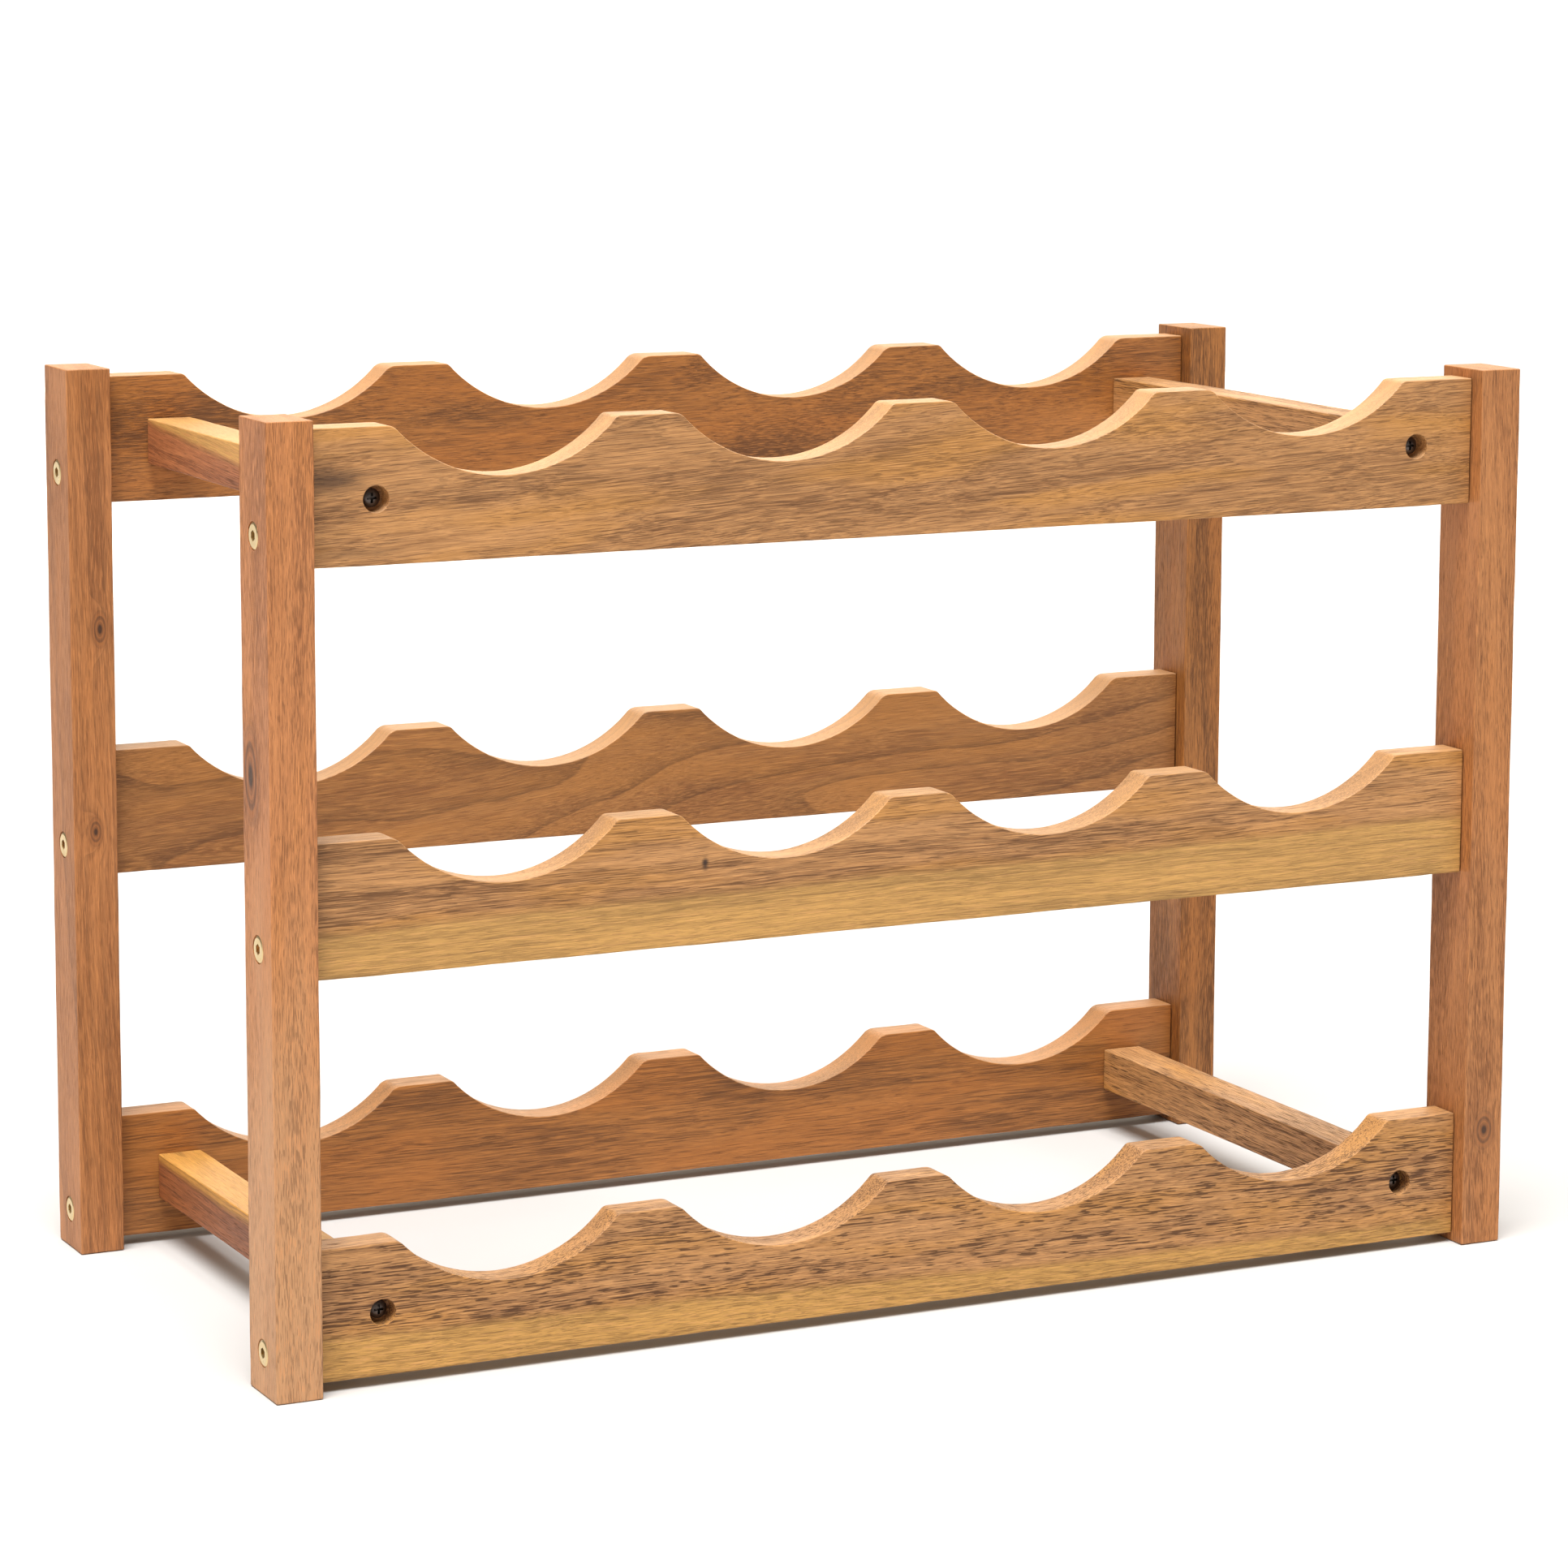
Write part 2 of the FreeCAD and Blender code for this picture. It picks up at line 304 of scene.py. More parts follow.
for tier_z in TIER_Z:
    seat = post_hole(tier_z, CONNECTOR_Z)
    walls = mark(post_pattern, lambda at: off_axis(at, seat, RIGHT) < SEAT_RADIUS
                 and at.x > POST_LOW.x + BELOW_FACE, SHADED_HOLE_WALL)
    print("connector hole with", walls, "drilled faces")

# %% [markdown]
# ## Rails
# A rail starts as a plain board, and a router that follows a template scoops four cradles out
# of its top edge. A cradle is an arc, and its chord and depth give its radius, so one
# cylinder per cradle does it. It has more sides than a small hole, because it is wide.

# %% Scoop out the rail
CRADLES = 4
CRADLE_PITCH = 92 * MM
CRADLE_CHORD = 71 * MM
CRADLE_DEPTH = 16 * MM
CRADLE_RADIUS = ((CRADLE_CHORD / 2) ** 2 + CRADLE_DEPTH ** 2) / (2 * CRADLE_DEPTH)
SCOOP_SIDES = 96

rail_pattern = block("rail_pattern", RAIL_LOW, RAIL_HIGH)
axis_z = RAIL_HIGH.z - CRADLE_DEPTH + CRADLE_RADIUS
cradle_x = [(number - (CRADLES - 1) / 2) * CRADLE_PITCH for number in range(CRADLES)]
for axis_x in cradle_x:
    front = Vector((axis_x, RAIL_LOW.y - SPARE, axis_z))
    rear = Vector((axis_x, RAIL_HIGH.y + SPARE, axis_z))
    drill(rail_pattern, front, rear, CRADLE_RADIUS, sides=SCOOP_SIDES)
print("scoops at", [round(x / MM) for x in cradle_x], "mm, radius", round(CRADLE_RADIUS / MM, 2))

# %% [markdown]
# ## Softened points
# The points where a scoop meets the top are softened on the sander, and a board pushed along
# a belt always loses more on the leading side, so the two sides of a scoop aren't the same.
# Those edges are found by a rule and bevelled in edit mode. Then a Bevel modifier eases the
# outline of both faces. Its angle limit leaves the scoops' own facets alone.

# %% Soften the points and ease the outline
SANDED_MORE = 2.0 * MM
SANDED_LESS = 1.1 * MM
POINT_STEPS = 5
NEAR_POINT = 1 * MM
OUTLINE_ANGLE = math.radians(35)


def pick_edges(piece, rule):
    """In edit mode, select just the edges whose two ends satisfy the rule."""
    only(piece)
    bpy.ops.object.mode_set(mode="EDIT")
    bpy.ops.mesh.select_mode(type="EDGE")
    bpy.ops.mesh.select_all(action="DESELECT")
    mesh = bmesh.from_edit_mesh(piece.data)
    chosen = [edge for edge in mesh.edges if rule(edge.verts[0].co, edge.verts[1].co)]
    for edge in chosen:
        edge.select_set(True)
    bmesh.update_edit_mesh(piece.data)
    return len(chosen)


def is_point_edge(side):
    """A rule for the edges where a scoop meets the rail's top, on one side of each scoop."""
    def rule(a, b):
        across = abs(a.y - b.y) > RAIL_SIZE.y / 2
        at_top = min(a.z, b.z) > RAIL_HIGH.z - SAME_PLACE
        on_side = any(abs(a.x - x - side * CRADLE_CHORD / 2) < NEAR_POINT for x in cradle_x)
        return across and at_top and on_side
    return rule


for side, amount in ((-1, SANDED_MORE), (1, SANDED_LESS)):
    points = pick_edges(rail_pattern, is_point_edge(side))
    bpy.ops.mesh.bevel(offset=amount, segments=POINT_STEPS, affect="EDGES")
    bpy.ops.object.mode_set(mode="OBJECT")
    print("softened", points, "points by", round(amount / MM, 1), "mm")
apply_modifier(rail_pattern, "BEVEL", width=EASING, segments=EASING_STEPS,
               angle_limit=OUTLINE_ANGLE)

# %% [markdown]
# ## Holes in a rail's ends
# Each end takes the thread of its connector screw and half of its dowel. The rails of the
# middle tier have no crossbars, so a copy is kept now, before the crossbars' holes.

# %% Drill the rail's ends
THREAD_DEPTH = 36 * MM
SOCKET_DEPTH = 21 * MM
rail_middle_y = (RAIL_LOW.y + RAIL_HIGH.y) / 2

for side in (-1, 1):
    inward = Vector((-side, 0, 0))
    end = Vector((side * RAIL_HIGH.x, rail_middle_y, RAIL_LOW.z))
    screw = end + Vector((0, 0, CONNECTOR_Z))
    socket = end + Vector((0, 0, DOWEL_Z))
    drill(rail_pattern, screw - inward * SPARE, screw + inward * THREAD_DEPTH, SHANK_RADIUS)
    drill(rail_pattern, socket - inward * SPARE, socket + inward * SOCKET_DEPTH, DOWEL_RADIUS)
plain_rail = bpy.data.objects.new("plain_rail_pattern", rail_pattern.data.copy())
bpy.context.collection.objects.link(plain_rail)
print("drilled rail has", len(plain_rail.data.polygons), "faces")

# %% [markdown]
# ## Holes for the crossbar screws
# The screws that hold the crossbars are sunk in counterbores. A counterbore tears the fibres
# where it enters a face, and that leaves a pale broken rim, which is bevelled here.

# %% Drill and tear the counterbores
COUNTERBORE_RADIUS = 3.8 * MM
COUNTERBORE_DEPTH = 5.5 * MM
COUNTERBORE_SIDES = 64
CLEARANCE_RADIUS = 1.65 * MM
CLEARANCE = (5.4 * MM, 42.5 * MM)
RIM = 0.55 * MM
RIM_STEPS = 2
NEAR_RIM = 0.1 * MM
BACK = Vector((0, 1, 0))
cross_screws = [
    Vector((side * CROSS_SCREW_X, RAIL_LOW.y, RAIL_LOW.z + CROSS_SCREW_Z)) for side in (-1, 1)
]


def is_rim_edge(face):
    """A rule for the edges of a counterbore in the rail's outer face."""
    def rule(a, b):
        at_face = all(abs(end.y - face.y) < SAME_PLACE for end in (a, b))
        return at_face and all(
            off_axis(end, face, BACK) < COUNTERBORE_RADIUS + NEAR_RIM for end in (a, b)
        )
    return rule


for face in cross_screws:
    drill(rail_pattern, face - BACK * SPARE, face + BACK * COUNTERBORE_DEPTH, COUNTERBORE_RADIUS,
          sides=COUNTERBORE_SIDES)
    drill(rail_pattern, face + BACK * CLEARANCE[0], face + BACK * CLEARANCE[1], CLEARANCE_RADIUS)
    edges = pick_edges(rail_pattern, is_rim_edge(face))
    bpy.ops.mesh.bevel(offset=RIM, segments=RIM_STEPS, affect="EDGES")
    bpy.ops.object.mode_set(mode="OBJECT")
    print("counterbore with", edges, "rim edges")

# %% [markdown]
# ## Slicing the rails
# The rails get the same grid as a post, a little finer because they have more shape. Then
# the torn rims and the counterbores' walls, which get painted shade, are marked.

# %% Slice the rails and mark their holes
RAIL_GRID = 3 * MM
WALL_DEPTH = 7 * MM

for pattern in (rail_pattern, plain_rail):
    print(pattern.name, "has", slice_grid(pattern, RAIL_LOW, RAIL_HIGH, RAIL_GRID), "faces")
for face in cross_screws:
    rim = mark(rail_pattern, lambda at: at.y < face.y + RIM
               and COUNTERBORE_RADIUS < off_axis(at, face, BACK) < COUNTERBORE_RADIUS + RIM, TORN)
    wall = mark(rail_pattern, lambda at: at.y < face.y + WALL_DEPTH
                and off_axis(at, face, BACK) < COUNTERBORE_RADIUS, SHADED_HOLE_WALL)
    print("hole with", rim, "torn faces and", wall, "drilled ones")

# %% [markdown]
# ## Crossbars
# The crossbars are square sticks, eased a little more than the rest, and their tops get
# little painted light. Their ends carry only the pilot holes of the crossbar screws.

# %% Model one crossbar
BAR_EASING = 0.7 * MM
PILOT_RADIUS = 1.5 * MM
PILOT_DEPTH = 31 * MM
BAR_GRID = 3 * MM

bar_pattern = block("bar_pattern", BAR_LOW, BAR_HIGH)
apply_modifier(bar_pattern, "BEVEL", width=BAR_EASING, segments=EASING_STEPS)
bar_middle = (BAR_LOW + BAR_HIGH) / 2
for end in (-1, 1):
    outside = bar_middle + BACK * end * (BAR_SIZE.y / 2 + SPARE)
    drill(bar_pattern, outside, outside - BACK * end * (SPARE + PILOT_DEPTH), PILOT_RADIUS)
print("crossbar pattern has", slice_grid(bar_pattern, BAR_LOW, BAR_HIGH, BAR_GRID), "faces")

# %% [markdown]
# ## Hand sanding
# Hand sanding leaves a face a few tenths of a millimetre away from flat, which only shows as
# light runs along it. Two cloud textures are pressed into the mesh: broad waves from the
# block, and finer marks from the grit. They only push inwards, so a board never outgrows its
# CAD size. Faces that meet at a small angle are then shaded as one.

# %% Make the sanding
WAVE_LENGTH = 28 * MM
WAVE_HEIGHT = 0.30 * MM
MARK_LENGTH = 5 * MM
MARK_HEIGHT = 0.10 * MM
INWARD_ONLY = 1
SMOOTH_BELOW = math.radians(40)
FLAT_FACES_LEAD = 60


def cloud(name, size, depth):
    """A cloud texture whose lumps are about the given size."""
    texture = bpy.data.textures.new(name, "CLOUDS")
    texture.noise_scale = size
    texture.noise_depth = depth
    return texture


WAVES = cloud("hand_sanding", WAVE_LENGTH, 1)
MARKS = cloud("fine_sanding", MARK_LENGTH, 2)


def sand(piece):
    """Press both textures into the surface, and shade it softly between its edges."""
    apply_modifier(piece, "DISPLACE", texture=WAVES, strength=WAVE_HEIGHT, mid_level=INWARD_ONLY)
    apply_modifier(piece, "DISPLACE", texture=MARKS, strength=MARK_HEIGHT, mid_level=INWARD_ONLY)
    only(piece)
    bpy.ops.object.shade_smooth_by_angle(angle=SMOOTH_BELOW)
    apply_modifier(piece, "WEIGHTED_NORMAL", keep_sharp=True, weight=FLAT_FACES_LEAD)


print("sanding up to", round((WAVE_HEIGHT + MARK_HEIGHT) / MM, 2), "mm deep")

# %% [markdown]
# ## Putting the boards in place
# Each board is a copy of its pattern with its own mesh, moved to its place or turned half way
# round the rack's middle. Only then is it sanded, because the clouds depend on where the
# board is, and so no two boards are alike.

# %% Copy the posts
boards = {}


def place_board(node, pattern, move=Vector(), turned=False):
    """Copy a pattern to a CAD node's place. Turned boards go half way round the middle."""
    piece = bpy.data.objects.new(node + "_wood", pattern.data.copy())
    bpy.context.collection.objects.link(piece)
    turn = Matrix.Rotation(math.pi if turned else 0, 4, "Z")
    piece.matrix_world = Matrix.Translation(move) @ turn
    apply_place(piece)
    sand(piece)
    boards[node] = piece


post_step = Vector((0, POST_LOW.y + POST_HIGH.y, 0))
place_board("front_left_post", post_pattern)
place_board("rear_left_post", post_pattern, -post_step)
place_board("rear_right_post", post_pattern, turned=True)
place_board("front_right_post", post_pattern, post_step, turned=True)
print(len(boards), "posts in place")

# %% [markdown]
# ## Rails and crossbars in place
# The rail's pattern is the top front rail, and the other front rails only move down from it.
# A rear rail is turned, so that its counterbores face the back. Crossbars are alike at both
# ends, so they only move.

# %% Copy the rails and the crossbars
for tier, tier_z in zip(("bottom", "middle", "top"), TIER_Z):
    pattern = plain_rail if tier == "middle" else rail_pattern
    drop = Vector((0, 0, tier_z - RAIL_LOW.z))
    place_board(tier + "_front_rail", pattern, drop)
    place_board(tier + "_rear_rail", pattern, drop, turned=True)

for tier in ("top", "bottom"):
    for side in ("left", "right"):
        node = tier + "_" + side + "_crossbar"
        place_board(node, bar_pattern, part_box(node)[0] - BAR_LOW)
print(len(boards), "boards in place")

# %% [markdown]
# ## Riding on the frame
# Nothing on a rack moves, so every board rides on the one body, and each stands for the CAD
# node whose place it has. The patterns have done their work and go away.

# %% Tie the boards to the frame
for pattern in (post_pattern, rail_pattern, plain_rail, bar_pattern):
    bpy.data.objects.remove(pattern)
for node, piece in boards.items():
    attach(piece, "root")
    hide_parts(node)
print(len(boards), "boards ride on the frame")

# %% [markdown]
# ## Colours and nodes
# Colours are written as the sRGB hex values that a colour picker shows, and one function
# turns them linear, which is what Blender's shaders work in. One more function adds a node
# with its settings and links, so that a material reads as a list of layers.

# %% Material helpers


def linear(hex_colour, brighter=1.0):
    """Linear RGBA of an sRGB hex colour such as B5835A, made brighter or darker."""
    values = []
    for start in (0, 2, 4):
        value = int(hex_colour[start:start + 2], 16) / 255
        value = value / 12.92 if value <= 0.04045 else ((value + 0.055) / 1.055) ** 2.4
        values.append(min(1.0, value * brighter))
    return (*values, 1.0)


def add(tree, kind, inputs=(), output=None, **settings):
    """Add a node, set it, fill or link its inputs, and give back one of its outputs. Inputs
    go to the sockets that the node shows, in order, or by name. Each is a value or an output
    of another node. With no output named, it is the first that the node shows."""
    node = tree.nodes.new("ShaderNode" + kind)
    for name, value in settings.items():
        setattr(node, name, value)
    shown = [socket for socket in node.inputs if socket.enabled]
    if isinstance(inputs, dict):
        shown = [node.inputs[name] for name in inputs]
        inputs = inputs.values()
    for socket, value in zip(shown, inputs):
        if isinstance(value, bpy.types.NodeSocket):
            tree.links.new(value, socket)
        else:
            socket.default_value = value
    if output:
        return node.outputs[output]
    return next((socket for socket in node.outputs if socket.enabled), None)


def new_material(name):
    """An empty node material, and its tree."""
    material = bpy.data.materials.new(name)
    material.use_nodes = True
    material.node_tree.nodes.clear()
    return material, material.node_tree


MIX_COLOURS = dict(data_type="RGBA")
SMOOTHLY = dict(interpolation_type="SMOOTHSTEP")
print("mid grey 808080 is", round(linear("808080")[0], 3), "in linear light")

# %% [markdown]
# ## Oiled acacia, drawn as a log
# A board is a slice of a log, so its grain is best drawn as a log too. X runs up the tree,
# and the pith is the line where Y and Z are nought. A flat picture of planks would stop at
# every edge, but a pattern that fills space meets itself round each one. Fibres are long and
# thin, so every noise is stretched along X. They also wander slowly, with a small quick
# ripple on top, so the place itself is bent before anything else reads it.

# %% Stretch noise and bend the fibres
SLOW_WANDER = (170 * MM, 30 * MM)
QUICK_RIPPLE = (26 * MM, 7 * MM)
RIPPLE = 0.4 * MM
NOISE_MIDDLE = 0.5
NOISE_SWING = 3


def stretched(tree, place, size, detail, roughness=0.5, output=None):
    """Noise whose lumps have the given length and width, drawn out along the grain."""
    length, width = size
    scale = (1 / length, 1 / width, 1 / width)
    drawn = add(tree, "VectorMath", (place, scale), operation="MULTIPLY")
    inputs = {"Vector": drawn, "Scale": 1.0, "Detail": detail, "Roughness": roughness}
    return add(tree, "TexNoise", inputs, output)


def shifted(tree, place, noise, amount):
    """Move a place sideways, by up to about the amount, as a noise's colour says."""
    centred = add(tree, "VectorMath", (noise, (NOISE_MIDDLE,) * 3), operation="SUBTRACT")
    sideways = (0, NOISE_SWING * amount, NOISE_SWING * amount)
    return add(tree, "VectorMath", (centred, sideways, place), operation="MULTIPLY_ADD")


def bend_fibres(tree, log, waver):
    """A place in the log, after the fibres' wandering."""
    slow = stretched(tree, log, SLOW_WANDER, detail=1.0, output="Color")
    quick = stretched(tree, log, QUICK_RIPPLE, detail=1.0, output="Color")
    return shifted(tree, shifted(tree, log, slow, waver), quick, RIPPLE)


print("fibres wander over", round(SLOW_WANDER[0] / MM), "mm and ripple over",
      round(QUICK_RIPPLE[0] / MM), "mm")

# %% [markdown]
# ## Growth bands
# A tree grows outwards, so the distance from the pith decides how dark the wood is. Noise
# over that distance gives bands of uneven width. They run along a face, make arches where
# the face cuts them at a slant, and hardly change up the tree. A knot is the foot of a
# branch that the wood grew round, so near one the bands are pushed aside.

# %% Distance from the pith, and bands over it
GROWTH_BAND = 7 * MM
BAND_LENGTH = 200 * MM
KNOT_PUSH = 6 * MM
KNOT_PUSH_FROM, KNOT_PUSH_TO = 0.6, 3.5


def near_place(tree, place, spot, half_size):
    """Distance from a spot, counted in half sizes, so that 1 is the edge of an oval."""
    offset = add(tree, "VectorMath", (place, spot), operation="SUBTRACT")
    scale = tuple(1 / size for size in half_size)
    scaled = add(tree, "VectorMath", (offset, scale), operation="MULTIPLY")
    return add(tree, "VectorMath", (scaled,), operation="LENGTH")


def from_pith(tree, bent, knot_reaches):
    """Distance from the pith, pushed out round each knot."""
    flat = add(tree, "VectorMath", (bent, (0, 1, 1)), operation="MULTIPLY")
    radius = add(tree, "VectorMath", (flat,), operation="LENGTH")
    for reach in knot_reaches:
        steps = (reach, KNOT_PUSH_FROM, KNOT_PUSH_TO, KNOT_PUSH, 0.0)
        push = add(tree, "MapRange", steps, **SMOOTHLY)
        radius = add(tree, "Math", (radius, push), operation="ADD")
    return radius


def growth_bands(tree, log, radius):
    """Noise over the distance from the pith, which changes slowly up the tree."""
    along = add(tree, "SeparateXYZ", (log,), output="X")
    up_tree = add(tree, "Math", (along, 1 / BAND_LENGTH), operation="MULTIPLY")
    outwards = add(tree, "Math", (radius, 1 / GROWTH_BAND), operation="MULTIPLY")
    place = add(tree, "CombineXYZ", (up_tree, outwards))
    inputs = {"Vector": place, "Scale": 1.0, "Detail": 4.0, "Roughness": 0.6}
    return add(tree, "TexNoise", inputs, noise_dimensions="2D")


print("growth bands about", round(GROWTH_BAND / MM), "mm wide")

# %% [markdown]
# ## Pores, hairs and flecks
# Acacia's pores are vessels 0.1 to 0.3 mm wide. A plane opens them lengthways, so they show
# as short dark dashes along a board and as dots on its ends, and they crowd in dark bands.
# Finer hair lines lie between them, and so do flecks of clean fibre that catch the light.
# Real pores are too fine to show when the whole rack is in view, so the pores are drawn
# about 0.3 mm wide and the hairs 0.2 mm.

# %% Draw pores, hairs and flecks
PORE_COLOUR = "452813"
CROWD_BY_BANDS = 0.40
CROWD_BY_PATCHES = 0.15
PORE_FROM, PORE_TO = 0.84, 0.89
HAIR = (6.0 * MM, 0.20 * MM)
HAIR_FROM, HAIR_TO = 0.55, 0.60
FLECK_FROM, FLECK_TO = 0.42, 0.34
PORE_DEPTH, HAIR_DEPTH, FLECK_DEPTH = 0.74, 0.34, 0.35
FLECK_SHINE = 1.35


def open_grain(tree, bent, bands, patches, pore_size, pores):
    """How much of a pore, a hair and a fleck there is at each place."""
    noise = stretched(tree, bent, pore_size, detail=1.0)
    hair_noise = stretched(tree, bent, HAIR, detail=1.0)
    crowd = add(tree, "Math", (bands, CROWD_BY_BANDS, noise), operation="MULTIPLY_ADD")
    crowd = add(tree, "Math", (patches, CROWD_BY_PATCHES, crowd), operation="MULTIPLY_ADD")
    pore = add(tree, "MapRange", (crowd, PORE_FROM, PORE_TO, 0.0, pores), **SMOOTHLY)
    hair = add(tree, "MapRange", (hair_noise, HAIR_FROM, HAIR_TO, 0.0, pores), **SMOOTHLY)
    fleck = add(tree, "MapRange", (noise, FLECK_FROM, FLECK_TO), **SMOOTHLY)
    return pore, hair, fleck


def colour_grain(tree, colour, light, pore, hair, fleck):
    """Lay the flecks, then the hairs, then the pores over the wood's colour."""
    layers = (
        (fleck, FLECK_DEPTH, linear(light, FLECK_SHINE)),
        (hair, HAIR_DEPTH, linear(PORE_COLOUR)),
        (pore, PORE_DEPTH, linear(PORE_COLOUR)),
    )
    for share, depth, above in layers:
        amount = add(tree, "Math", (share, depth), operation="MULTIPLY")
        colour = add(tree, "Mix", (amount, colour, above), **MIX_COLOURS)
    return colour


print("hair lines", round(HAIR[1] / MM, 2), "mm wide")

# %% [markdown]
# ## Heartwood
# Heartwood goes from a light tone to a dark one with the bands, with streaks along the fibres
# and with broad patches. Their weights say which of them the eye follows. In places the wood
# drifts to gold, and one post is paler towards its foot, so a colour can fade with height.

# %% Colour the heartwood
PATCH = (60 * MM, 11 * MM)
STREAK = (26 * MM, 0.60 * MM)
BAND_WEIGHT, STREAK_WEIGHT, PATCH_WEIGHT = 0.9, 1.5, 0.4
TONE_MIDDLE = NOISE_MIDDLE * (BAND_WEIGHT + STREAK_WEIGHT + PATCH_WEIGHT)
TONE_SPREAD = 0.32
GOLD_PATCH = (90 * MM, 14 * MM)
GOLD_FROM, GOLD_TO, GOLD_DEPTH = 0.46, 0.66, 0.8
FADE_FROM, FADE_TO, FADE_DEPTH = 240 * MM, 80 * MM, 0.75
FADE_RAGGED = 100 * MM


def wood_tone(tree, bands, streaks, patches, contrast):
    """From 0, the light tone, to 1, the dark one."""
    tone = add(tree, "Math", (streaks, STREAK_WEIGHT), operation="MULTIPLY")
    tone = add(tree, "Math", (bands, BAND_WEIGHT, tone), operation="MULTIPLY_ADD")
    tone = add(tree, "Math", (patches, PATCH_WEIGHT, tone), operation="MULTIPLY_ADD")
    lightest = TONE_MIDDLE - TONE_SPREAD / contrast
    darkest = TONE_MIDDLE + TONE_SPREAD / contrast
    return add(tree, "MapRange", (tone, lightest, darkest), **SMOOTHLY)


def heartwood(tree, bent, tone, light, dark, gold):
    """The two tones, and patches of gold."""
    colour = add(tree, "Mix", (tone, linear(light), linear(dark)), **MIX_COLOURS)
    patch = stretched(tree, bent, GOLD_PATCH, detail=2.0)
    golden = add(tree, "MapRange", (patch, GOLD_FROM, GOLD_TO, 0.0, GOLD_DEPTH), **SMOOTHLY)
    return add(tree, "Mix", (golden, colour, linear(gold)), **MIX_COLOURS)


def faded_foot(tree, colour, rack_place, patches, foot):
    """Fade a post's colour towards the floor, with a ragged edge."""
    height = add(tree, "SeparateXYZ", (rack_place,), output="Z")
    height = add(tree, "Math", (patches, FADE_RAGGED, height), operation="MULTIPLY_ADD")
    faded = add(tree, "MapRange", (height, FADE_FROM, FADE_TO, 0.0, FADE_DEPTH), **SMOOTHLY)
    return add(tree, "Mix", (faded, colour, linear(foot)), **MIX_COLOURS)


print("streaks", round(STREAK[1] / MM, 2), "mm wide, patches", round(PATCH[1] / MM), "mm")

# %% [markdown]
# ## Sapwood and years
# Under the bark lies a band of pale sapwood. Its edge follows the growth bands, a thin dark
# line marks it, and its pores are fainter. Within a year the wood darkens slowly towards the
# late wood and then starts again pale, so the dark line of a year is sharp on one side only.

# %% Colour the sapwood and the years
SAP_EDGE = 3 * MM
SAP_SHADE = 0.72
SAP_PORES_LOST = 0.6
SAP_LINE = 1.4
LATE_WOOD = 4.0
YEAR_END = 0.96


def sapwood(tree, colour, pore, tone, radius, sap, sap_from, dark):
    """Lay the sapwood over the heartwood, and thin its pores."""
    edge = add(tree, "MapRange", (radius, sap_from, sap_from + SAP_EDGE), **SMOOTHLY)
    kept = add(tree, "Math", (edge, -SAP_PORES_LOST, 1.0), operation="MULTIPLY_ADD")
    pore = add(tree, "Math", (pore, kept), operation="MULTIPLY")
    sap_tone = add(tree, "Mix", (tone, linear(sap), linear(sap, SAP_SHADE)), **MIX_COLOURS)
    colour = add(tree, "Mix", (edge, colour, sap_tone), **MIX_COLOURS)
    inside = add(tree, "Math", (1.0, edge), operation="SUBTRACT")
    beside = add(tree, "Math", (edge, inside), operation="MULTIPLY")
    line = add(tree, "Math", (beside, SAP_LINE), operation="MULTIPLY")
    return add(tree, "Mix", (line, colour, linear(dark)), **MIX_COLOURS), pore


def years(tree, colour, radius, ring_width, rings):
    """Darken the late wood of each year."""
    count = add(tree, "Math", (radius, 1 / ring_width), operation="MULTIPLY")
    year = add(tree, "Math", (count,), operation="FRACT")
    late = add(tree, "Math", (year, LATE_WOOD), operation="POWER")
    late = add(tree, "Math", (late, rings), operation="MULTIPLY")
    ending = add(tree, "MapRange", (year, 1.0, YEAR_END), **SMOOTHLY)
    late = add(tree, "Math", (late, ending), operation="MULTIPLY")
    return add(tree, "Mix", (late, colour, linear(PORE_COLOUR)), **MIX_COLOURS)


print("sapwood edge", round(SAP_EDGE / MM), "mm wide")

# %% [markdown]
# ## Smudges and knots
# A few boards have a mark that anyone would point at: a dark mineral smudge, or a knot with
# a nearly black core and wavy rings. Each is an oval round a spot, and the streaks and
# patches make its edge ragged. They are few and small, so each is placed one by one.

# %% Colour the smudges and the knots
SMUDGE_COLOUR = "3A2416"
SMUDGE_RAGGED = 1.6
SMUDGE_FROM, SMUDGE_TO = 0.9, 1.9
KNOT_COLOUR = "54321C"
CORE_COLOUR = "341E10"
KNOT_RAGGED = 0.5
KNOT_RINGS = 4.0
RING_FROM, RING_TO = 0.4, 0.6
HALO_FROM, HALO_TO, HALO_DEPTH = 1.0, 2.2, 0.75
CORE_FROM, CORE_TO, CORE_DEPTH = 0.45, 0.80, 0.85


def smudged(tree, colour, reach, streaks, depth):
    """Lay a smudge over the wood."""
    ragged = add(tree, "Math", (streaks, SMUDGE_RAGGED, reach), operation="MULTIPLY_ADD")
    shade = add(tree, "MapRange", (ragged, SMUDGE_FROM, SMUDGE_TO, depth, 0.0), **SMOOTHLY)
    return add(tree, "Mix", (shade, colour, linear(SMUDGE_COLOUR)), **MIX_COLOURS)


